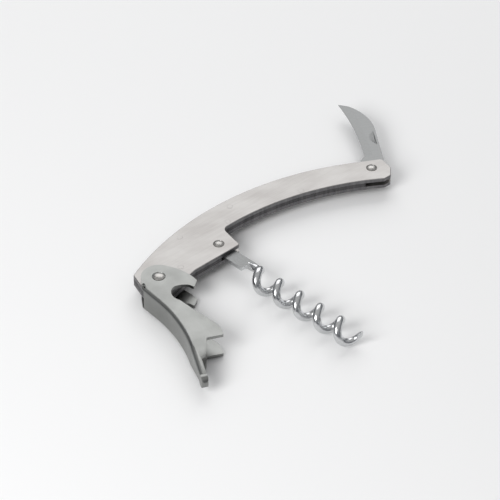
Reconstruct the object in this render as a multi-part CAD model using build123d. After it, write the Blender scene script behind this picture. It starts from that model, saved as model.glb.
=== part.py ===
from build123d import *
import math
import os

# Folding waiter's corkscrew, all stainless steel, opened flat on a table.
#
# The model lies with its side plates horizontal: +X runs along the handle from the lever pivot
# to the blade pivot, +Y points to the handle's convex back, +Z is normal to the side plates.
# Shapes are drawn about the lever pivot at mid thickness, and are moved at the end so that the
# origin is the centre of the bottom of the whole object's box.

os.makedirs("parts", exist_ok=True)

# ---- handle: two scales with a core between them ----
SCALE_T = 1.5                       # thickness of one scale
CORE_T = 1.6                        # thickness of the layer between the scales
HANDLE_Z = CORE_T / 2 + SCALE_T     # half thickness of the handle
BACK_CENTRE = (45.0, -92.2)         # centre of the convex back
BACK_R = 112.5
BELLY_CENTRE = (44.5, -96.4)        # centre of the concave belly
BELLY_R = 105.1
WORM_PIVOT = (29.5, 2.8)
BLADE_PIVOT = (101.1, 0.3)
NOSE_R = 6.5                        # lever end of the handle, round about the lever pivot
SPRING_H = 3.6                      # height of the backspring above the belly
SPRING_X = (15.0, 94.6)             # ends of the backspring
SPACER_END = 56.0                   # where the spacer stops, short of the folded blade's point
CORE_GAP = 0.05                     # seam between the spacer and the backspring
PINS = [(11.0, 1.5), (21.0, 14.5), (46.0, 16.5), (40.0, 10.4), (72.0, 6.8)]  # flush pins

# ---- rivets and pins ----
PIN_R = 1.5
HEAD_R = 1.8                        # dome of the worm and blade rivets
HEAD_H = 0.55
LEVER_PIN_R = 1.6
LEVER_HEAD_R = 2.15
LEVER_HEAD_H = 0.6
WASHER_R = 5.2                      # spacer washers between the scales and the ears
DIMPLE_GAP = 0.25                   # ring left round a head in its dimple
DIMPLE_DEPTH = 0.2
FLUSH_PIN_R = 1.0
RUNNING_FIT = 0.05                  # radial clearance of a part that turns on a rivet
SIDE_GAP = 0.05                     # clearance of a turning part against its neighbour

# ---- lever: one plate folded into a channel ----
LEVER_T = 1.2
LEVER_Z = 5.0                       # half width over the two side plates
EAR_R = 6.3
WEB_X = -8.4                        # outer face of the web near the ears
WEB_TOP = -2.0                      # where the web starts below the ears
WEB_BEND_Y = -9.0                   # where the web starts to curve
WEB_TURN = 23.3                     # how far the web turns, degrees
WEB_BEND_R = 60.7
FOLD_R = 1.5                        # outer radius of the folds
TONGUE_END = 17.5                   # length of the straight web beyond its curve
TONGUE_HALF = 2.3                   # half width of the tongue at its round end
TAPER_LEN = 12.5                    # length over which the channel narrows to the tongue
LIP_END = 10.5                      # where the side lips stop, back from the tongue's end
LIP_H = 4.2                         # height of the lips there, over the web
HEM_LEN = 8.0                       # the end is folded back on itself over this length
HEM_T = 2.4                         # and is two plates thick there
RELIEF = (-6.95, -0.75)             # slit at the end of each fold
RELIEF_LEN = 2.7
RELIEF_W = 0.9

# ---- worm ----
WIRE_R = 1.55
COIL_R = 3.1                        # radius of the wire's centre line
PITCH = 9.55
BAR_W = 5.4
BAR_T = 1.5
BAR_LEN = 13.9                      # pivot to the step
SHANK_END = 17.0                    # pivot to where the flattened shank turns round
COIL_START = 19.5                   # pivot to the first turn
TURNS = 5.12                        # turns in all, to the point
POINT_TURNS = 0.45                  # part of a turn in which the wire tapers to its point
BEND_R = 3.2                        # bend from the straight wire into the coil
COIL_LEAN = math.atan2(2 * math.pi * COIL_R, PITCH)   # angle between the coiled wire and the axis
BEND_RISE = BEND_R * (1 - math.cos(COIL_LEAN))        # how far the bend moves the wire round
BEND_AT = math.atan2(BEND_RISE, COIL_R)               # angle round the coil where the bend ends
WIRE_OFF = math.hypot(COIL_R, BEND_RISE)              # straight wire to the coil's axis
WIRE_Y = BAR_W / 2 - WIRE_R                           # straight wire to the bar's middle
FLATTEN = 3.8                       # length over which the wire sinks into the bar
WORM_ANGLE = -83.5                  # direction of the worm from its pivot
POINT_R = 0.15                      # blunt radius left at the point
TANG_R = 4.1

# ---- foil blade ----
BLADE_T = 1.5
BLADE_ANGLE = 65.0                  # direction of the blade's point from its pivot
BLADE_LEN = 43.5
BLADE_TANG_R = 4.6
HEEL_ROOM = 7.9                     # kept clear of the backspring, for the blade's heel to fold past
EDGE_MID = (26.4, -1.4)             # middle of the concave cutting edge
EDGE_R = 112.0                      # radius of the cutting edge
EDGE_ROOT_X = 9.0                   # where the grinding stops, short of the heel
EDGE_HALF = 0.1                     # half thickness left at the edge
GRIND_W = 3.0                       # width of the ground band

ORIGIN = (51.1, -12.8, -5.65)       # the object's own origin, in the drawing frame


def at(point, z=0.0):
    """A location at a plan point and height."""
    return Location((point[0], point[1], z))


def polar(angle, radius, centre=(0.0, 0.0)):
    """The plan point at an angle in degrees and a distance from a centre."""
    a = math.radians(angle)
    return (centre[0] + radius * math.cos(a), centre[1] + radius * math.sin(a))


def back_y(x):
    """Height of the convex back at x."""
    return BACK_CENTRE[1] + math.sqrt(BACK_R ** 2 - (x - BACK_CENTRE[0]) ** 2)


def belly_y(x, rise=0.0):
    """Height at x of the concave belly, or of a line that rises above it."""
    r = BELLY_R + rise
    return BELLY_CENTRE[1] + math.sqrt(r ** 2 - (x - BELLY_CENTRE[0]) ** 2)


def slab(face, z0, z1):
    """The solid of a plan face between two heights."""
    return Pos(0, 0, z0) * extrude(face, z1 - z0, dir=(0, 0, 1))


def disc(centre, radius, z0, z1):
    """A round solid about a vertical axis."""
    return at(centre, (z0 + z1) / 2) * Cylinder(radius, z1 - z0)


def arc_run(x0, x1, height):
    """An arc along the back or the belly between two stations, as three points on it."""
    xm = (x0 + x1) / 2
    return ThreePointArc((x0, height(x0)), (xm, height(xm)), (x1, height(x1)))


# ---------------------------------------------------------------- handle

def nose_tangent(point, way):
    """Where a line from a point touches the round lever end. way is +1 above it, -1 below."""
    bearing = math.atan2(point[1], point[0])
    swing = math.acos(NOSE_R / math.hypot(*point))
    return polar(math.degrees(bearing + way * swing), NOSE_R)


def handle_face():
    """Outline of a scale: curved body, round lever end, worm lug, cut-off blade end."""
    heel = (-4.6, back_y(-4.6))
    start = (100.4, back_y(100.4))
    shoulder = (107.7, 1.9)
    side = (106.9, -4.0)
    foot = (100.6, belly_y(100.6))
    toe = (103.6, -7.5)
    recess = (36.2, belly_y(36.2))
    lug = (35.1, -2.3)
    throat = (14.0, -3.05)
    nose = nose_tangent(heel, 1)
    chin = nose_tangent(throat, -1)
    edges = [
        arc_run(heel[0], start[0], back_y),
        Line(start, shoulder),
        Line(shoulder, side),
        Line(side, toe),
        Line(toe, foot),
        arc_run(foot[0], recess[0], belly_y),
        Line(recess, lug),
        Line(lug, throat),
        Line(throat, chin),
        ThreePointArc(chin, polar(190, NOSE_R), nose),
        Line(nose, heel),
    ]
    face = make_face(edges)

    def corner(p):
        return face.vertices().sort_by_distance(Vector(*p))[0]

    rounds = [(heel, 1.2), (shoulder, 1.6), (side, 1.5), (toe, 0.5), (foot, 0.8)]
    rounds += [(recess, 2.4), (lug, 0.9), (throat, 8.0)]
    for point, radius in rounds:
        face = fillet(corner(point), radius)
    return face


def dimple(centre, head_r, z_face, up):
    """The shallow countersink that a domed head sits in, as a solid to cut."""
    wide = head_r + DIMPLE_GAP
    cone = Cone(wide - 0.15, wide, DIMPLE_DEPTH)
    if up:
        return at(centre, z_face - DIMPLE_DEPTH / 2) * cone
    return at(centre, z_face + DIMPLE_DEPTH / 2) * Rot(180, 0, 0) * cone


def scale(side):
    """One scale. side is +1 for the front scale on top, -1 for the rear one below."""
    z_in = side * CORE_T / 2
    z_out = side * HANDLE_Z
    body = slab(handle_face(), min(z_in, z_out), max(z_in, z_out))
    outer = body.faces().sort_by(Axis.Z)[-1 if side > 0 else 0]
    body = chamfer(outer.outer_wire().edges(), 0.2)
    body -= disc((0, 0), LEVER_PIN_R + RUNNING_FIT, -4, 4)
    for pivot in (WORM_PIVOT, BLADE_PIVOT):
        body -= disc(pivot, PIN_R, -4, 4)
        body -= dimple(pivot, HEAD_R, z_out, side > 0)
    for pin in PINS:
        body -= disc(pin, FLUSH_PIN_R, -4, 4)
    return body


def spring_face(rise, drop, grow):
    """The band along the belly that the backspring fills, grown at its ends by grow."""
    x0 = SPRING_X[0] - grow
    x1 = SPRING_X[1] + grow
    top = arc_run(x0, x1, lambda x: belly_y(x, rise))
    bottom = arc_run(x0, x1, lambda x: belly_y(x, -drop))
    return make_face([top, Line(top @ 1, bottom @ 1), bottom, Line(bottom @ 0, top @ 0)])


def backspring():
    """Spring strip that makes the belly between the scales and presses on both tangs."""
    face = spring_face(SPRING_H, 0, 0) & handle_face()
    face -= Pos(*WORM_PIVOT) * Circle(TANG_R + 0.2)
    face -= Pos(*BLADE_PIVOT) * Circle(HEEL_ROOM)
    body = slab(face, -CORE_T / 2, CORE_T / 2)
    for pin in PINS[3:]:
        body -= disc(pin, FLUSH_PIN_R, -4, 4)
    return body


def lever_end_spacer():
    """Core plate at the lever end, cut round the worm's tang and ending before the blade."""
    face = handle_face() & Pos(SPACER_END - 50, 0) * Rectangle(100, 60)
    face -= spring_face(SPRING_H + CORE_GAP, CORE_GAP, CORE_GAP)
    room = TANG_R + 0.4
    face -= Pos(*WORM_PIVOT) * Circle(room)
    swing = (WORM_PIVOT[0] - 3.0, WORM_PIVOT[1] + 6.0)
    face -= Pos(*swing) * Rectangle(40, 40, align=(Align.MIN, Align.MAX))
    body = slab(face, -CORE_T / 2, CORE_T / 2)
    body -= disc((0, 0), LEVER_PIN_R + RUNNING_FIT, -4, 4)
    for pin in PINS[:3]:
        body -= disc(pin, FLUSH_PIN_R, -4, 4)
    return body


def flush_pins():
    """Pins ground flush with the scales, which hold the core between them."""
    return [disc(pin, FLUSH_PIN_R, -HANDLE_Z, HANDLE_Z) for pin in PINS]


def rivet(centre, pin_r, head_r, head_h, seat):
    """A pin with a domed head at each end, each head seated at height seat."""
    rim = seat + 0.2
    top = rim + head_h
    dome_r = (head_r ** 2 + head_h ** 2) / (2 * head_h)
    half = math.asin(head_r / dome_r) / 2
    shoulder = (dome_r * math.sin(half), top - dome_r * (1 - math.cos(half)))
    profile = make_face([
        Line((0, -top), (0, top)),
        ThreePointArc((0, top), shoulder, (head_r, rim)),
        Line((head_r, rim), (head_r, seat)),
        Line((head_r, seat), (pin_r, seat)),
        Line((pin_r, seat), (pin_r, -seat)),
        Line((pin_r, -seat), (head_r, -seat)),
        Line((head_r, -seat), (head_r, -rim)),
        ThreePointArc((head_r, -rim), (shoulder[0], -shoulder[1]), (0, -top)),
    ])
    return at(centre) * revolve(Plane.XZ * profile, Axis.Z, 360)


def washer(side):
    """Spacer ring between a scale and an ear, which turns with the lever's rivet."""
    z0 = HANDLE_Z + SIDE_GAP
    z1 = LEVER_Z - LEVER_T - SIDE_GAP
    ring = disc((0, 0), WASHER_R, z0, z1) - disc((0, 0), LEVER_PIN_R, -9, 9)
    return ring if side > 0 else mirror(ring, Plane.XY)


# ---------------------------------------------------------------- lever

def web_ends(inset):
    """Corner points of the web's line at a depth below its outer face."""
    turn = math.radians(WEB_TURN)
    x = WEB_X + inset
    r = WEB_BEND_R + inset
    centre = (WEB_X - WEB_BEND_R, WEB_BEND_Y)
    bend = (x, WEB_BEND_Y)
    middle = (centre[0] + r * math.cos(turn / 2), centre[1] - r * math.sin(turn / 2))
    end = (centre[0] + r * math.cos(turn), centre[1] - r * math.sin(turn))
    tip = (end[0] - TONGUE_END * math.sin(turn), end[1] - TONGUE_END * math.cos(turn))
    return bend, middle, end, tip


def web_side(inset, top_y, reach):
    """Plan of everything on the inner side of the web's line, up to top_y."""
    bend, middle, end, tip = web_ends(inset)
    turn = math.radians(WEB_TURN)
    low = (tip[0] - reach * math.sin(turn), tip[1] - reach * math.cos(turn))
    far = 30.0
    return make_face([
        Line((bend[0], top_y), bend),
        ThreePointArc(bend, middle, end),
        Line(end, low),
        Line(low, (far, low[1])),
        Line((far, low[1]), (far, top_y)),
        Line((far, top_y), (bend[0], top_y)),
    ])


def on_tongue(back, inward):
    """Plan point at a distance back from the tongue's end and inward from its outer face."""
    tip = web_ends(0)[3]
    turn = math.radians(WEB_TURN)
    x = tip[0] + back * math.sin(turn) + inward * math.cos(turn)
    return (x, tip[1] + back * math.cos(turn) - inward * math.sin(turn))


def lever_profile():
    """Side view of the lever: ears, cap notch with its prong, claw, tapering tongue."""
    bend, middle, end, tip = web_ends(0)
    tip_in = on_tongue(0, HEM_T)
    lip_foot = on_tongue(LIP_END - 0.8, HEM_T)
    lip_end = on_tongue(LIP_END, LIP_H)
    ear_left = polar(150, EAR_R)
    ear_right = polar(24, EAR_R)
    web_top = (WEB_X, WEB_TOP)
    claw_root = (-7.4, -35.6)
    claw_tip = (-1.9, -38.0)
    claw_face = (-0.2, -31.0)
    edge_top = (-2.2, -14.5)
    notch_end = (5.4, -10.4)
    prong = (6.0, -12.3)
    prong_back = (9.0, -10.2)
    face = make_face([
        Line(web_top, bend),
        ThreePointArc(bend, middle, end),
        Line(end, tip),
        Line(tip, tip_in),
        Line(tip_in, lip_foot),
        Line(lip_foot, lip_end),
        Line(lip_end, claw_root),
        Line(claw_root, claw_tip),
        ThreePointArc(claw_tip, (-0.35, -34.6), claw_face),
        ThreePointArc(claw_face, (-1.45, -22.0), edge_top),
        ThreePointArc(edge_top, (-1.5, -8.9), (0.6, -7.7)),
        ThreePointArc((0.6, -7.7), (3.4, -8.7), notch_end),
        Line(notch_end, prong),
        Line(prong, prong_back),
        ThreePointArc(prong_back, (8.3, -3.0), ear_right),
        ThreePointArc(ear_right, polar(90, EAR_R), ear_left),
        Line(ear_left, (-8.1, -0.8)),
        Line((-8.1, -0.8), web_top),
    ])
    rounds = [(claw_root, 0.5), (claw_tip, 0.5), (prong, 0.35), (prong_back, 0.8), (notch_end, 0.4)]
    rounds += [(tip, 1.15), (tip_in, 1.15)]
    for point, radius in rounds:
        face = fillet(face.vertices().sort_by_distance(Vector(*point))[0], radius)
    return face


def tongue_plane():
    """Plane along the straight end of the web: x back from the tip, y across the channel."""
    tip = web_ends(0)[3]
    turn = math.radians(WEB_TURN)
    back = (math.sin(turn), math.cos(turn), 0)
    inward = (math.cos(turn), -math.sin(turn), 0)
    return Plane(origin=(tip[0], tip[1], 0), x_dir=back, z_dir=inward)


def taper(inset):
    """The channel's width seen square on to the web, as a solid: wide, then a round tongue."""
    slope = math.atan2(LEVER_Z - TONGUE_HALF, TAPER_LEN)
    start = TONGUE_HALF + TAPER_LEN
    half = LEVER_Z - inset
    knee = start + inset * math.tan(slope / 2)
    back = 120.0
    if inset == 0:
        nose = (TONGUE_HALF + 0.6, TONGUE_HALF)
        edges = [
            Line((back, -half), (knee, -half)),
            Line((knee, -half), (nose[0], -nose[1])),
            ThreePointArc((nose[0], -nose[1]), (0, 0), nose),
            Line(nose, (knee, half)),
            Line((knee, half), (back, half)),
            Line((back, half), (back, -half)),
        ]
    else:
        apex = (knee - half / math.tan(slope), 0)
        edges = [
            Line((back, -half), (knee, -half)),
            Line((knee, -half), apex),
            Line(apex, (knee, half)),
            Line((knee, half), (back, half)),
            Line((back, half), (back, -half)),
        ]
    face = tongue_plane() * make_face(edges)
    return extrude(face, 80, both=True)


def lever():
    """One plate folded into a channel: two eared side plates joined by the curved web."""
    block = slab(web_side(0, 20, 5), -LEVER_Z, LEVER_Z) & taper(0)
    folds = [e for e in block.edges() if on_fold(e)]
    block = fillet(folds, FOLD_R)
    body = block & slab(lever_profile(), -LEVER_Z, LEVER_Z)
    hollow = slab(web_side(LEVER_T, WEB_TOP, 5), -LEVER_Z, LEVER_Z) & taper(LEVER_T)
    hollow -= tongue_plane().location * Box(2 * HEM_LEN, 2 * LEVER_Z, 4 * HEM_T)
    body -= hollow
    gap = LEVER_Z - LEVER_T
    body -= Pos(0, WEB_TOP + 20, 0) * Box(60, 40, 2 * gap)
    relief = at(RELIEF) * Rot(0, 0, 72) * extrude(SlotOverall(RELIEF_LEN, RELIEF_W), 12, both=True)
    body -= relief
    body -= disc((0, 0), LEVER_PIN_R + RUNNING_FIT, -9, 9)
    for up in (True, False):
        body -= dimple((0, 0), LEVER_HEAD_R, LEVER_Z if up else -LEVER_Z, up)
    return body


def on_fold(edge):
    """True for an edge of the block that lies along the outer face of the web."""
    if abs(edge.tangent_at(0.5).Z) > 0.9:
        return False
    p = edge.position_at(0.5)
    bend, middle, end, tip = web_ends(0)
    if p.Y > bend[1]:
        return abs(p.X - WEB_X) < 0.01
    if p.Y > end[1]:
        r = math.hypot(p.X - WEB_X + WEB_BEND_R, p.Y - WEB_BEND_Y)
        return abs(r - WEB_BEND_R) < 0.01
    along = (p.X - end[0]) * (tip[1] - end[1]) - (p.Y - end[1]) * (tip[0] - end[0])
    return abs(along) < 0.2


# ---------------------------------------------------------------- worm

def coil_frame(turned):
    """Cross plane of the wire in the coil, at an angle round the coil's axis."""
    outward = Vector(0, math.cos(turned), math.sin(turned))
    around = Vector(0, -math.sin(turned), math.cos(turned))
    along = Vector(1, 0, 0) * math.cos(COIL_LEAN) + around * math.sin(COIL_LEAN)
    axial = COIL_START + PITCH * turned / (2 * math.pi)
    return Plane(origin=Vector(axial, WIRE_Y - WIRE_OFF, 0) + outward * COIL_R, x_dir=outward, z_dir=along)


def wire():
    """The round wire: straight out of the bar, one bend into the coil, ground to a point."""
    begin = coil_frame(BEND_AT)
    bend_start = Vector(begin.origin.X - BEND_R * math.sin(COIL_LEAN), WIRE_Y, 0)
    shank_start = Vector(SHANK_END - 0.3, WIRE_Y, 0)
    full = 2 * math.pi * (TURNS - POINT_TURNS)
    helix = Helix(PITCH, PITCH * (full - BEND_AT) / (2 * math.pi), COIL_R)
    axis = Plane(origin=(begin.origin.X, WIRE_Y - WIRE_OFF, 0), x_dir=begin.x_dir, z_dir=(1, 0, 0))
    path = Wire([
        Line(shank_start, bend_start).edge(),
        TangentArc(bend_start, begin.origin, tangent=(1, 0, 0)).edge(),
        (axis.location * helix).edge(),
    ])
    body = sweep(Plane(origin=shank_start, z_dir=(1, 0, 0)) * Circle(WIRE_R), path=path)

    steps = 6
    sections = []
    for i in range(steps + 1):
        radius = POINT_R + (WIRE_R - POINT_R) * math.sqrt(1 - i / steps)
        sections.append(coil_frame(full + 2 * math.pi * POINT_TURNS * i / steps) * Circle(radius))
    body += loft(sections)
    flat = Plane(origin=(SHANK_END - FLATTEN, WIRE_Y, 0), z_dir=(1, 0, 0))
    neck = Cone(BAR_T / 2 - 0.1, WIRE_R, FLATTEN - 0.3, align=(Align.CENTER, Align.CENTER, Align.MIN))
    return body + flat.location * neck


def worm():
    """Right-handed coil whose wire is flattened into a bar with a round pivoted end."""
    bar = Pos(BAR_LEN / 2, 0) * Rectangle(BAR_LEN, BAR_W)
    shank = Pos(SHANK_END / 2, WIRE_Y) * Rectangle(SHANK_END, 2 * WIRE_R)
    flat = bar + shank + Circle(TANG_R)
    under = WIRE_Y - WIRE_R
    rounds = [((BAR_LEN, -BAR_W / 2), 0.4), ((BAR_LEN, under), 0.9)]
    rounds += [((SHANK_END, BAR_W / 2), 0.7), ((SHANK_END, under), 0.7)]
    for corner, radius in rounds:
        flat = fillet(flat.vertices().sort_by_distance(Vector(*corner))[0], radius)
    body = slab(flat, -BAR_T / 2, BAR_T / 2) - disc((0, 0), PIN_R + RUNNING_FIT, -4, 4)
    body = body + wire()
    return at(WORM_PIVOT) * Rot(0, 0, WORM_ANGLE) * body


# ---------------------------------------------------------------- foil blade

def blade_face():
    """Hawkbill outline in the blade's own frame: pivot at the origin, point along +X."""
    point = (BLADE_LEN, 0.0)
    spine_root = (4.7, -6.4)
    spine_turn = (25.0, -9.0)
    edge_root = (9.4, -0.2)
    heel = (7.2, 2.0)
    face = make_face([
        Line(polar(-70, BLADE_TANG_R), spine_root),
        Line(spine_root, spine_turn),
        ThreePointArc(spine_turn, (36.0, -6.7), point),
        ThreePointArc(point, (23.0, -1.4), edge_root),
        Line(edge_root, heel),
        Line(heel, polar(60, BLADE_TANG_R)),
        ThreePointArc(polar(60, BLADE_TANG_R), polar(175, BLADE_TANG_R), polar(-70, BLADE_TANG_R)),
    ])
    for corner, radius in [(spine_root, 1.0), (spine_turn, 8.0), (edge_root, 1.5), (heel, 0.6)]:
        face = fillet(face.vertices().sort_by_distance(Vector(*corner))[0], radius)
    return face


def foil_blade():
    """Foil blade with a ground concave edge and a nail nick near its spine."""
    body = slab(blade_face(), -BLADE_T / 2, BLADE_T / 2)
    body -= disc((0, 0), PIN_R + RUNNING_FIT, -4, 4)
    body -= grind()
    body -= mirror(grind(), Plane.XY)
    body -= nail_nick()
    return at(BLADE_PIVOT) * Rot(0, 0, BLADE_ANGLE) * body


def grind():
    """What the grinding takes off the front face, down to a thin concave edge."""
    inner = EDGE_R - 2.0
    outer = EDGE_R + GRIND_W
    slope = (BLADE_T / 2 - EDGE_HALF) / GRIND_W
    low = EDGE_HALF - slope * (EDGE_R - inner)
    ring = revolve(make_face([
        Line((inner, 0, low), (outer, 0, BLADE_T / 2)),
        Line((outer, 0, BLADE_T / 2), (inner, 0, BLADE_T)),
        Line((inner, 0, BLADE_T), (inner, 0, low)),
    ]), Axis.Z, 360)
    ring = Pos(EDGE_MID[0], EDGE_MID[1] + EDGE_R, 0) * ring
    return ring & Pos(EDGE_ROOT_X, 0, 0) * Box(80, 60, 20, align=(Align.MIN, Align.CENTER, Align.CENTER))


def nail_nick():
    """Thumbnail groove: straight and steep beside the spine, as a tilted disc cutter leaves it."""
    wheel_r = 19.0
    depth = 0.45
    tilt = 12.0
    bottom = Pos(19.2, -7.3, BLADE_T / 2 - depth) * Rot(0, 0, -6.5) * Rot(tilt, 0, 0)
    wheel = Cylinder(wheel_r, 4.0, align=(Align.CENTER, Align.CENTER, Align.MIN))
    return bottom * Pos(0, 0, wheel_r) * Rot(-90, 0, 0) * wheel


# ---------------------------------------------------------------- assembly

def solids_of(shape):
    """The separate solids of a node, moved to the object's own origin."""
    parts = shape if isinstance(shape, list) else [shape]
    solids = [solid for part in parts for solid in part.solids()]
    return [Pos(-ORIGIN[0], -ORIGIN[1], -ORIGIN[2]) * solid for solid in solids]


NODES = {
    "front_scale": scale(1),
    "rear_scale": scale(-1),
    "lever_end_spacer": lever_end_spacer(),
    "backspring": backspring(),
    "flush_pins": flush_pins(),
    "worm_rivet": rivet(WORM_PIVOT, PIN_R, HEAD_R, HEAD_H, HANDLE_Z - DIMPLE_DEPTH),
    "blade_rivet": rivet(BLADE_PIVOT, PIN_R, HEAD_R, HEAD_H, HANDLE_Z - DIMPLE_DEPTH),
    "lever_rivet": rivet((0, 0), LEVER_PIN_R, LEVER_HEAD_R, LEVER_HEAD_H,
                         LEVER_Z - DIMPLE_DEPTH + SIDE_GAP),
    "lever_washer_front": washer(1),
    "lever_washer_rear": washer(-1),
    "lever": lever(),
    "worm": worm(),
    "foil_blade": foil_blade(),
}

for name, shape in NODES.items():
    solids = solids_of(shape)
    export_step(solids[0] if len(solids) == 1 else Compound(solids), f"parts/{name}.step")
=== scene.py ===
# %% [markdown]
# # A waiter's corkscrew in stainless steel
#
# The tool lies open on its side plates: a curved handle of two scales, a worm of round wire, a
# lever folded from one plate, and a small hooked blade for the foil. Its exact shapes and joints
# come from a CAD model, which is loaded first and stays fixed. This lesson gives it its looks:
# eased edges where a plate has been deburred, and one finish for each way in which the real
# steel was worked. Lengths are in metres, in the frame of the CAD model.

# %% Load the CAD model
import math

import bpy
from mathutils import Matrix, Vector


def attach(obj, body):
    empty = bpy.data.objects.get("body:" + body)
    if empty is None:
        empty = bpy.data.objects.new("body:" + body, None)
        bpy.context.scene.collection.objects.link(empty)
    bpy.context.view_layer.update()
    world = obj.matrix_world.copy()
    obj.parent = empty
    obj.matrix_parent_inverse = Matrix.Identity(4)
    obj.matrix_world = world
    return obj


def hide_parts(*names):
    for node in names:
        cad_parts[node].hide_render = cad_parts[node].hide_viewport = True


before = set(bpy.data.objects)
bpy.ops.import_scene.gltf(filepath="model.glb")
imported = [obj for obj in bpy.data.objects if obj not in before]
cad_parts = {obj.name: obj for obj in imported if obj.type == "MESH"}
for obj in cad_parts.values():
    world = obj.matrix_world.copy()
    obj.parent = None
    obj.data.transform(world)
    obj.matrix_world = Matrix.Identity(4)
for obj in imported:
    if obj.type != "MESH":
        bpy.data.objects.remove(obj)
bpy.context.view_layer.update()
print("nodes:", ", ".join(sorted(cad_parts)))

# %% [markdown]
# ## Camera
#
# A small product is taken with a long lens from well back, so that its far end doesn't look
# smaller than its near end. The camera stands in front of the worm's side, to the left, and looks
# down at 40 degrees. It could be placed by eye, but two angles, a distance and a point to look at
# are easier to correct, one number at a time.

# %% Place the camera
MM = 0.001
CAMERA_AZIMUTH, CAMERA_ELEVATION = math.radians(-40), math.radians(40)
CAMERA_DISTANCE = 0.852
CAMERA_AIM = Vector((-22.9 * MM, -3.4 * MM, 17.9 * MM))
CAMERA_LENS_MM = 175


def direction(azimuth, elevation):
    """The unit vector that points from the object towards an azimuth and elevation in radians."""
    flat = math.cos(elevation)
    return Vector((math.sin(azimuth) * flat, -math.cos(azimuth) * flat, math.sin(elevation)))


camera_data = bpy.data.cameras.new("camera")
camera_data.lens = CAMERA_LENS_MM
camera_data.clip_start = 0.05
camera = bpy.data.objects.new("camera", camera_data)
bpy.context.scene.collection.objects.link(camera)
towards_camera = direction(CAMERA_AZIMUTH, CAMERA_ELEVATION)
camera.location = CAMERA_AIM + towards_camera * CAMERA_DISTANCE
camera.rotation_euler = (-towards_camera).to_track_quat("-Z", "Y").to_euler()
bpy.context.scene.camera = camera
print("camera at", [round(v, 3) for v in camera.location])

# %% [markdown]
# ## Colours and shader nodes
#
# A hex colour, as a colour picker shows it, is in sRGB, and shaders work in linear light, so one
# function turns the one into the other. A second function adds a shader node, sets its values and
# joins its inputs, because that is all that building a material by hand does.

# %% Turn a hex colour to linear, and add a node
def linear(hex_colour):
    """A colour such as C8C4BE, as linear RGBA."""
    parts = [int(hex_colour[i : i + 2], 16) / 255 for i in (0, 2, 4)]
    return [p / 12.92 if p <= 0.04045 else ((p + 0.055) / 1.055) ** 2.4 for p in parts] + [1.0]


def add(tree, kind, joins=(), **values):
    """Adds a node, sets its properties and sockets by name, and joins outputs to its inputs."""
    node = tree.nodes.new("ShaderNode" + kind)
    for name, value in values.items():
        if name[0].islower():
            setattr(node, name, value)
        else:
            node.inputs[name.replace("_", " ")].default_value = value
    for name, output in joins:
        tree.links.new(output, node.inputs[name])
    return node


print("mid grey 808080 is", [round(v, 3) for v in linear("808080")[:3]], "in linear light")

# %% [markdown]
# ## What all the steels share
#
# Every piece is stainless steel, so every material is the same shader with metallic at 1 and the
# default IOR. What differs is how the surface was worked: that sets the roughness, the direction
# of its marks and how dark it looks. Marks are noise stretched along one direction. Noise needs
# its spacing per metre, so `per` takes the real spacing in millimetres.

# %% Start a steel, and draw its marks
def per(spacing_mm):
    """How many times a pattern repeats in a metre, for a spacing in millimetres."""
    return 1000 / spacing_mm


def steel(name, roughness):
    """A new steel: its node tree, its shader and the piece's own coordinates."""
    material = bpy.data.materials.new(name)
    material.use_nodes = True
    tree = material.node_tree
    shader = tree.nodes["Principled BSDF"]
    shader.inputs["Metallic"].default_value = 1.0
    shader.inputs["Roughness"].default_value = roughness
    place = add(tree, "TexCoord").outputs["Object"]
    return material, tree, shader, place


def marks(tree, place, spacing_mm, turn=0.0, detail=3.0):
    """Noise with a spacing in millimetres along x, y and z, turned about z. Gives 0 to 1."""
    turned = add(tree, "Mapping", [("Vector", place)], Rotation=(0, 0, turn))
    sized = add(
        tree,
        "Mapping",
        [("Vector", turned.outputs["Vector"])],
        Scale=[per(s) for s in spacing_mm],
    )
    noise = add(tree, "TexNoise", [("Vector", sized.outputs["Vector"])], Scale=1.0, Detail=detail)
    return noise.outputs["Fac"]


def between(tree, value, low, high, start=0.35, end=0.65):
    """Spreads a noise value over a range of numbers."""
    node = add(
        tree,
        "MapRange",
        [("Value", value)],
        **{"From_Min": start, "From_Max": end, "To_Min": low, "To_Max": high},
    )
    return node.outputs["Result"]


def tones(tree, value, dark, light):
    """Mixes two hex colours by a value from 0 to 1."""
    mix = add(tree, "MixRGB", [("Fac", value)], Color1=linear(dark), Color2=linear(light))
    return mix.outputs["Color"]


def paint(tree, shader, value, dark, light):
    """Colours the shader between two hex colours, by a value from 0 to 1."""
    tree.links.new(tones(tree, value, dark, light), shader.inputs["Base Color"])


def roughen(tree, shader, value, low, high):
    """Spreads the shader's roughness between two numbers, by a noise value."""
    tree.links.new(between(tree, value, low, high), shader.inputs["Roughness"])


def grooves(tree, shader, height, depth_mm, strength):
    """Turns a value to bumps of a real depth on the shader's surface."""
    bump = add(tree, "Bump", [("Height", height)], Distance=depth_mm * MM, Strength=strength)
    tree.links.new(bump.outputs["Normal"], shader.inputs["Normal"])


# %% [markdown]
# ## Brushed scales
#
# The two scales are sheet, brushed along the handle on an abrasive belt after they were cut. That
# leaves a light, warm, slightly cloudy face whose fine scratches run lengthways and pull every
# highlight out sideways. Anisotropic shading could give that highlight, but most other programs
# don't keep it. They can keep stretched noise in colour, roughness and bump once it is baked, and
# the noise shows the scratches too.

# %% Brushed stainless sheet
SCALE_DARK, SCALE_LIGHT = "999694", "B0AEAC"
STREAK_SHARE, CLOUD_SHARE = 0.22, 0.78


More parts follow.
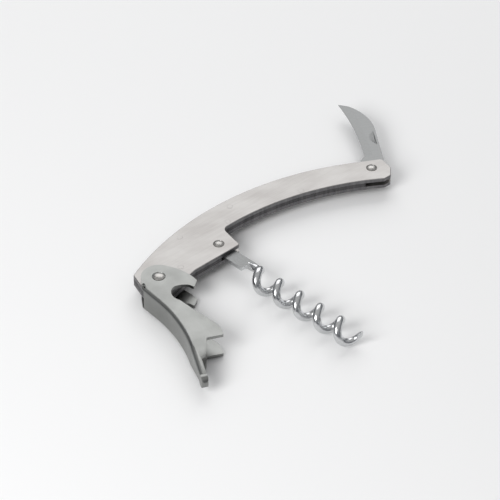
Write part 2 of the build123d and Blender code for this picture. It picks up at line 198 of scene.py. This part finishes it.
def brushed_sheet():
    """Stainless sheet brushed on a belt along x: long fine scratches and a soft cloudiness."""
    material, tree, shader, place = steel("brushed_stainless_sheet", 0.36)
    # A grit of 180 leaves scratches 0.1 mm apart, drawn here at 0.45 mm so that they show.
    scratches = marks(tree, place, (14, 0.45, 0.45))
    clouds = marks(tree, place, (16, 9, 9), turn=0.5)
    streaky = between(tree, scratches, 0.0, STREAK_SHARE)
    cloudy = between(tree, clouds, 0.0, CLOUD_SHARE)
    tone = add(tree, "Math", [(0, streaky), (1, cloudy)], operation="ADD")
    paint(tree, shader, tone.outputs["Value"], SCALE_DARK, SCALE_LIGHT)
    roughen(tree, shader, clouds, 0.36, 0.42)
    grooves(tree, shader, scratches, 0.01, 0.2)
    return material


brushed = brushed_sheet()
print("made", brushed.name)

# %% [markdown]
# ## Cut edges
#
# The edges of the scales, the core and the spring were sheared and then only ground level, so
# they carry short marks across the thickness. The scales' edges are painted darker than the
# faces, as a painted dark reflection, and the core and the spring darker still, as painted shade
# in the gaps between the plates. The way a face looks tells a cut edge from a flat one, so both
# finishes can share one piece.

# %% Sheared and ground edge
def sheared_edge(name, dark, light):
    """A sheared and ground edge in the two given colours, with short marks across the plate's
    thickness.
    """
    material, tree, shader, place = steel(name, 0.42)
    cross_marks = marks(tree, place, (1.3, 1.3, 6))
    drag_lines = marks(tree, place, (9, 9, 0.5), detail=2.0)
    paint(tree, shader, between(tree, cross_marks, 0, 1), dark, light)
    roughen(tree, shader, drag_lines, 0.34, 0.52)
    grooves(tree, shader, cross_marks, 0.01, 0.3)
    return material


# The scales' edges keep real sheared marks, but their dark colour is a painted dark reflection.
scale_edge_painted_reflection = sheared_edge("sheared_edge_painted_reflection", "69686A", "7C7B7C")
# The core strips and the lever washers are painted darker still: painted shade in the gaps between
# the plates.
core_painted_shade = sheared_edge("sheared_strip_painted_shade", "4B4A4B", "5E5D5E")
print("made", scale_edge_painted_reflection.name, "and", core_painted_shade.name)

# %% [markdown]
# ## Satin lever
#
# The lever was folded from plate and then tumbled with ceramic chips, which leaves a fine, even
# satin with no direction, a little darker and greyer than the scales. Very fine isotropic noise
# gives the satin, and a slow one gives the slight unevenness that tumbling leaves on a big face.

# %% Tumbled plate
LEVER_DARK, LEVER_LIGHT = "858684", "919290"


def tumbled_plate():
    """Stainless plate tumbled to a satin: even, with no direction, slightly uneven over a face."""
    material, tree, shader, place = steel("tumbled_stainless_plate", 0.34)
    # The satin's pits are under 0.05 mm, drawn at 0.3 mm so that they show.
    satin = marks(tree, place, (0.3, 0.3, 0.3), detail=2.0)
    patches = marks(tree, place, (9, 9, 9), detail=2.0)
    paint(tree, shader, between(tree, patches, 0, 1), LEVER_DARK, LEVER_LIGHT)
    roughen(tree, shader, satin, 0.28, 0.38)
    grooves(tree, shader, satin, 0.008, 0.3)
    return material


satin_lever = tumbled_plate()
print("made", satin_lever.name)

# %% [markdown]
# ## Polished wire, satin bar and rivets
#
# A worm has to slide through cork, so its wire is polished bright, and it mirrors the whole
# studio in thin stripes. The polish leaves faint unevenness from the work before it, and that
# keeps the mirror from looking like liquid. The worm's flat bar is only pressed and rubbed down,
# so it is rougher and darker, and the rivets' domes lie between the two. All three are the same
# recipe with other numbers, so one function makes them.

# %% Polished worm wire, satin bar and rivets
def polished(name, dark, light, roughness):
    """Stainless steel as smooth as its roughness says, with a trace of the marks beneath."""
    material, tree, shader, place = steel(name, roughness)
    under_polish = marks(tree, place, (0.7, 0.7, 0.7), detail=2.0)
    paint(tree, shader, between(tree, under_polish, 0, 1), dark, light)
    roughen(tree, shader, under_polish, roughness - 0.03, roughness + 0.05)
    grooves(tree, shader, under_polish, 0.006, 0.25)
    return material


worm_wire = polished("polished_stainless_wire", "C6C7C8", "D4D5D6", 0.22)
rivet_steel = polished("polished_stainless_rivet", "A8A6A3", "B4B2AF", 0.3)
satin_bar = polished("satin_stainless_bar", "7C7D7D", "898A8A", 0.42)
print("made", worm_wire.name + ",", satin_bar.name, "and", rivet_steel.name)

# %% [markdown]
# ## Ground blade
#
# The blade is thin hardened steel, ground across its width on a fine wheel. Its marks run from
# the spine to the edge, so the noise is turned to the blade's own direction.

# %% Ground blade
BLADE_TURN = math.radians(25)
BLADE_DARK, BLADE_LIGHT = "7F8080", "868787"


def ground_blade():
    """Hardened stainless steel, ground across the blade: fine marks from spine to edge."""
    material, tree, shader, place = steel("ground_blade_stainless", 0.33)
    wheel_marks = marks(tree, place, (9, 0.25, 0.25), turn=BLADE_TURN)
    paint(tree, shader, between(tree, wheel_marks, 0, 1), BLADE_DARK, BLADE_LIGHT)
    roughen(tree, shader, wheel_marks, 0.34, 0.4)
    grooves(tree, shader, wheel_marks, 0.004, 0.2)
    return material


blade_steel = ground_blade()
print("made", blade_steel.name)

# %% [markdown]
# ## Eased edges
#
# No real plate has a perfectly sharp edge: deburring rounds it by a tenth or two of a millimetre,
# and that thin round catches a line of light along every edge. The CAD plates are sharp, and a
# CAD mesh is never changed, so each plate is copied, its loose triangles are merged, and a bevel
# modifier rounds every edge that turns more than a fold does. The copy then stands for the plate.
# The worm is copied in the same way, with almost no rounding, so that its flat bar can take its
# own finish.

# %% Copy a plate and ease its edges
EASING = 0.16 * MM
WORM_EASING = 0.03 * MM
BEVEL_SEGMENTS = 2
FACE_WEIGHT = 100
BEVEL_ANGLE = math.radians(35)
SMOOTH_ANGLE = math.radians(50)
FLAT_ANGLE = math.radians(0.2)
MERGE_DISTANCE = 0.001 * MM


def select_only(piece):
    """Makes one object the only one selected, and the active one."""
    bpy.ops.object.select_all(action="DESELECT")
    piece.select_set(True)
    bpy.context.view_layer.objects.active = piece


def eased(node, body, width=EASING):
    """A copy of a CAD piece with its sharp edges rounded, which rides on the piece's body."""
    piece = bpy.data.objects.new(node + "_eased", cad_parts[node].data.copy())
    bpy.context.scene.collection.objects.link(piece)
    select_only(piece)
    bpy.ops.mesh.customdata_custom_splitnormals_clear()
    bpy.ops.object.mode_set(mode="EDIT")
    bpy.ops.mesh.select_all(action="SELECT")
    bpy.ops.mesh.remove_doubles(threshold=MERGE_DISTANCE)
    bpy.ops.mesh.dissolve_limited(angle_limit=FLAT_ANGLE)
    bpy.ops.object.mode_set(mode="OBJECT")
    bevel = piece.modifiers.new("easing", "BEVEL")
    bevel.width = width
    bevel.segments = BEVEL_SEGMENTS
    bevel.limit_method = "ANGLE"
    bevel.angle_limit = BEVEL_ANGLE
    bpy.ops.object.modifier_apply(modifier=bevel.name)
    bpy.ops.object.shade_smooth_by_angle(angle=SMOOTH_ANGLE)
    weighted = piece.modifiers.new("flat_faces", "WEIGHTED_NORMAL")
    weighted.keep_sharp = True
    weighted.weight = FACE_WEIGHT
    bpy.ops.object.modifier_apply(modifier=weighted.name)
    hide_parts(node)
    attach(piece, body)
    print(piece.name, "has", len(piece.data.polygons), "faces")
    return piece


scales = [eased(node, "handle") for node in ("front_scale", "rear_scale")]
worm = eased("worm", "worm", width=WORM_EASING)
core = [eased(node, "handle") for node in ("lever_end_spacer", "backspring")]
lever = eased("lever", "lever")

# %% [markdown]
# ## Giving out the finishes
#
# A new piece gets its finish. On the scales, a face that looks up or down is brushed, and one
# that looks sideways is a cut edge. On the worm, only a face that looks straight up or down is
# the satin bar.

# %% Finish the plates and the worm
CUT_EDGE_BELOW = 0.5
FLAT_BAR_ABOVE = 0.9999


def finish_piece(piece, slot, *materials):
    """Puts materials on a new piece. The slot argument is not used."""
    piece.data.materials.clear()
    for material in materials:
        piece.data.materials.append(material)


# A sideways face takes the edge material, whose dark colour is a painted reflection.
for scale in scales:
    finish_piece(scale, "scale_steel", brushed, scale_edge_painted_reflection)
    for face in scale.data.polygons:
        face.material_index = int(abs(face.normal.z) < CUT_EDGE_BELOW)
# The core strips are painted dark: painted shade between the two scales.
for strip in core:
    finish_piece(strip, "core_steel", core_painted_shade)
finish_piece(lever, "lever_steel", satin_lever)
finish_piece(worm, "worm_steel", worm_wire, satin_bar)
for face in worm.data.polygons:
    face.material_index = int(abs(face.normal.z) > FLAT_BAR_ABOVE)
print("finished the scales, the core, the lever and the worm")

# %% Finish the CAD pieces that stay
CAD_FINISH = {
    # The washers take the core's painted shade, for the shaded gaps beside the lever's ears.
    "lever_washer_front": core_painted_shade,
    "lever_washer_rear": core_painted_shade,
    "flush_pins": brushed,
    "worm_rivet": rivet_steel,
    "blade_rivet": rivet_steel,
    "lever_rivet": rivet_steel,
    "foil_blade": blade_steel,
}
for node, material in CAD_FINISH.items():
    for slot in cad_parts[node].material_slots:
        slot.material = material
    print(node, "is", material.name)

# %% [markdown]
# ## Floor, lights and surroundings
#
# Steel has almost no colour of its own: it shows what stands round it. A plain pale floor, a
# large soft light behind the tool that the flat faces mirror, and a smaller one at the left for
# the round wire are enough. The sky is bright overhead and dim at the horizon, so that a round
# piece of wire gets dark stripes as well as bright ones.

# %% Pale floor
FLOOR_SIZE = 6.0
FLOOR_COLOUR, FLOOR_ROUGHNESS = "F4F4F4", 0.9
bpy.ops.object.select_all(action="DESELECT")
bpy.ops.mesh.primitive_plane_add(size=FLOOR_SIZE, location=(0, 0, 0))
floor = bpy.context.object
floor.name = "floor"
paper = bpy.data.materials.new("matt_white_paper")
paper.use_nodes = True
paper_shader = paper.node_tree.nodes["Principled BSDF"]
paper_shader.inputs["Base Color"].default_value = linear(FLOOR_COLOUR)
paper_shader.inputs["Roughness"].default_value = FLOOR_ROUGHNESS
floor.data.materials.append(paper)
print("floor", FLOOR_SIZE, "m wide")


# %% Soft lights
def soft_light(name, azimuth, elevation, distance, size, power):
    """A square white area light that faces the tool, from a direction in degrees."""
    data = bpy.data.lights.new(name, "AREA")
    data.size = size
    data.energy = power
    light = bpy.data.objects.new(name, data)
    away = direction(math.radians(azimuth), math.radians(elevation))
    light.location = away * distance
    light.rotation_euler = (-away).to_track_quat("-Z", "Y").to_euler()
    bpy.context.scene.collection.objects.link(light)
    print(name, "at", [round(v, 2) for v in light.location])
    return light


soft_light("back_softbox", azimuth=140, elevation=42, distance=1.0, size=0.9, power=4.0)
soft_light("left_softbox", azimuth=-80, elevation=35, distance=0.9, size=0.45, power=5.0)

# %% Sky
SKY_HORIZON, SKY_OVERHEAD = "59606B", "FFFFFF"
SKY_STRENGTH = 0.55
SKY_FULL_HEIGHT = 0.9
world = bpy.data.worlds.new("studio")
world.use_nodes = True
bpy.context.scene.world = world
sky_tree = world.node_tree
sky_place = add(sky_tree, "TexCoord").outputs["Generated"]
sky_height = add(sky_tree, "SeparateXYZ", [("Vector", sky_place)]).outputs["Z"]
sky_fade = between(sky_tree, sky_height, 0.0, 1.0, start=0.0, end=SKY_FULL_HEIGHT)
sky_colour = tones(sky_tree, sky_fade, SKY_HORIZON, SKY_OVERHEAD)
sky_shader = sky_tree.nodes["Background"]
sky_shader.inputs["Strength"].default_value = SKY_STRENGTH
sky_tree.links.new(sky_colour, sky_shader.inputs["Color"])
bpy.context.scene.view_settings.view_transform = "Standard"
print("sky made")
